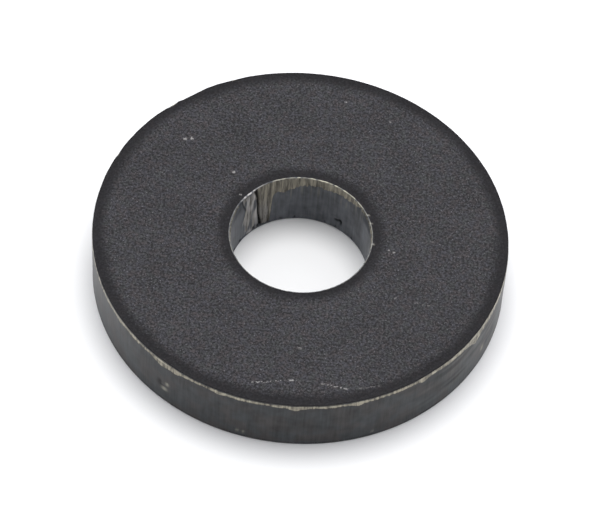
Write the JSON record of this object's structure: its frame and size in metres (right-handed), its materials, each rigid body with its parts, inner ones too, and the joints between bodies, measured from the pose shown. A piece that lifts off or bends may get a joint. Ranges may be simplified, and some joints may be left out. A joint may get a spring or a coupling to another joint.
{
  "type": "flat washer",
  "caption": "Thick flat washer in dark steel with a round punched clearance hole for an M8 bolt; it spreads the clamping load of a bolt head or nut.",
  "frame": {"origin": "centre of the hole, in the plane of the underside that the washer lies on", "axes": "+Z along the hole's axis, from the underside (rounded edges) to the upper face (broken corner of the punched side); X and Y lie in the face, and any turn about Z is equivalent in shape"},
  "size_m": [0.025, 0.025, 0.004],
  "materials": {
    "black_steel": "matte"
  },
  "bodies": {
    "root": {"flat_washer": "black_steel"}
  },
  "joints": []
}
